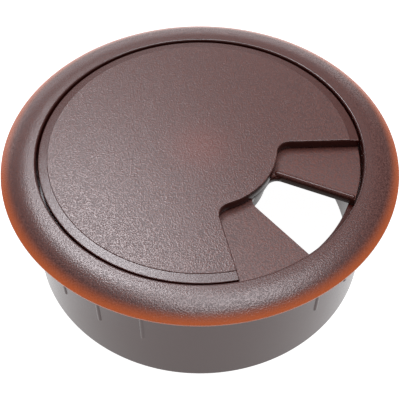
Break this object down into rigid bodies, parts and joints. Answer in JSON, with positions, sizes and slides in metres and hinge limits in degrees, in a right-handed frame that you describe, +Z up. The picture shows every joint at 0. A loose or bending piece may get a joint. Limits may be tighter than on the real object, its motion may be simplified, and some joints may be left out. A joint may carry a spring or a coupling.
{
  "type": "desk grommet",
  "caption": "Round desk grommet: a flanged liner for a hole in a worktop, with a lift-out cap whose turning shutter opens or closes the way for cables.",
  "frame": {"origin": "on the grommet's axis, in the plane of the sleeve's lower end; the desk's surface is 21.6 mm above it", "axes": "+Z up along the axis, towards the flange; +Y is away from the side from which the notch lies to the right"},
  "size_m": [0.066, 0.066, 0.0235],
  "materials": {
    "liner_plastic": "spark-eroded satin on the flange, smooth on the sleeve",
    "cap_plastic": "spark-eroded satin"
  },
  "bodies": {
    "liner": {"liner": "liner_plastic"},
    "cover": {"cover": "cap_plastic"},
    "shutter": {"shutter": "cap_plastic"}
  },
  "joints": [
    {"name": "cap_lift", "type": "slide", "parent": "liner", "child": "cover", "axis": [0, 0, 1], "range_m": [0, 0.02]},
    {"name": "shutter_turn", "type": "hinge", "parent": "cover", "child": "shutter", "pos_m": [0, 0, 0.0207], "axis": [0, 0, 1], "range_deg": [-53.5, 16.5]}
  ]
}
